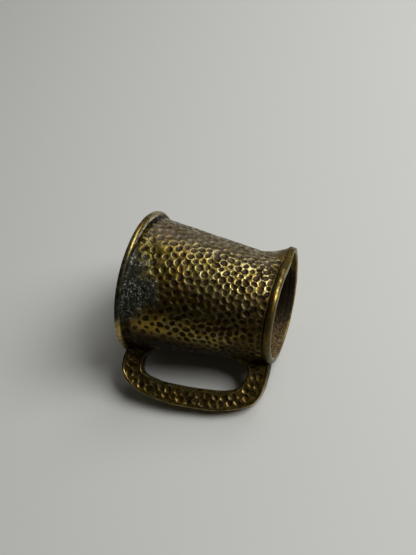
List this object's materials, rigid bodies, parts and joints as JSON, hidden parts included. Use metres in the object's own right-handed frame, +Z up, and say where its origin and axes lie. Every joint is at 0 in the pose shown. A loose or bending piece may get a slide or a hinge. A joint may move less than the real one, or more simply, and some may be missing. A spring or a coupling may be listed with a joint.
{
  "type": "pen holder cup",
  "caption": "Cast brass cup shaped like a small tankard, with a dimpled tapered wall, flanged foot, beaded mouth with a pouring lip, and a flat D-shaped handle.",
  "frame": {"origin": "centre of the foot's flat underside, on the cup's axis", "axes": "+Z up the cup's axis to the mouth, +X to the handle, -X to the pouring lip; the XZ plane is the mirror plane"},
  "size_m": [0.1069, 0.0836, 0.085],
  "materials": {
    "hammered_wall": "punched brass, polished ridges with dark brown patina in the pits",
    "worn_rim": "smooth brass, worn bright on its edges",
    "underside": "dull brown patina over as-cast brass",
    "hammered_handle": "punched brass with dark pits between polished rails",
    "braze": "dark tarnished brass at the joints"
  },
  "bodies": {
    "root": {"body_wall": "hammered_wall", "base_plate": "underside", "foot_ring": "worn_rim", "foot_cove": "braze", "mouth_rim": "worn_rim", "handle_web": "hammered_handle", "handle_outer_rail": "worn_rim", "handle_inner_rail": "worn_rim", "lower_handle_joint": "braze", "upper_handle_joint": "braze"}
  },
  "joints": []
}
